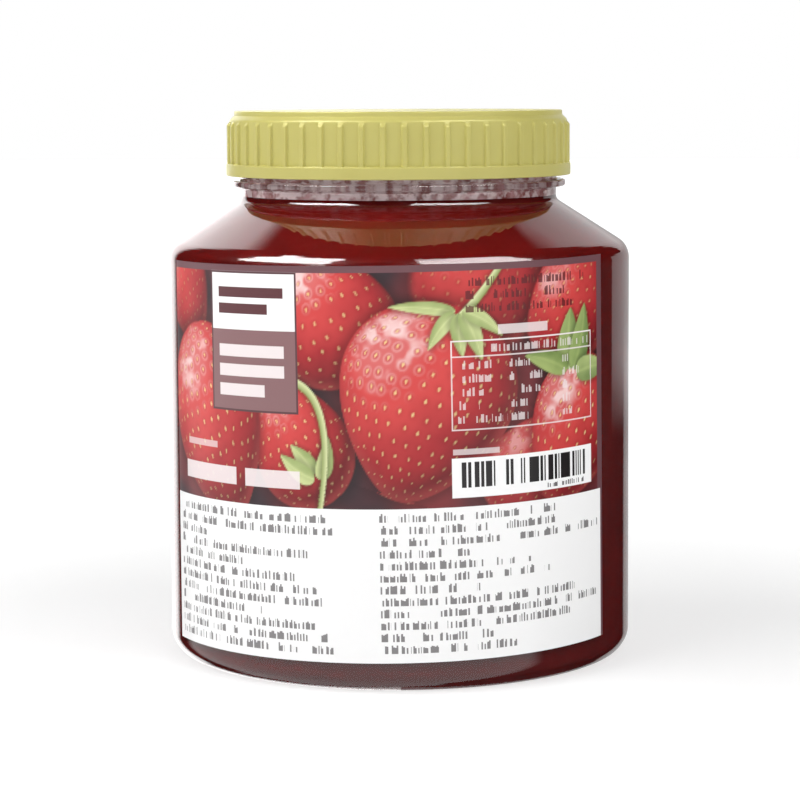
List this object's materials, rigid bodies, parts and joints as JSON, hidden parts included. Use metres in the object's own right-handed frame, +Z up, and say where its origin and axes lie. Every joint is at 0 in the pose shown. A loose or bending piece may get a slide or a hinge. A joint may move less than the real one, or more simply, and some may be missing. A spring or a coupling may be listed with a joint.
{
  "type": "jam jar",
  "caption": "Clear round wide-mouth jar full of red fruit jam, with a sloping shoulder, a ribbed screw cap and a printed label round the front.",
  "frame": {"origin": "middle of the base, on the plane the jar stands on", "axes": "+Z up along the jar's axis of symmetry, the label faces -Y, +X to the right when the label is read"},
  "size_m": [0.1046, 0.1052, 0.1222],
  "materials": {
    "clear_plastic": "clear moulded PET, glossy",
    "jam": "dark red set fruit jam, wet and glossy",
    "cap_plastic": "satin pale yellow-green polypropylene",
    "label_film": "printed film with a soft sheen"
  },
  "bodies": {
    "root": {"jar": "clear_plastic", "jam": "jam", "cap": "cap_plastic", "label": "label_film"}
  },
  "joints": []
}
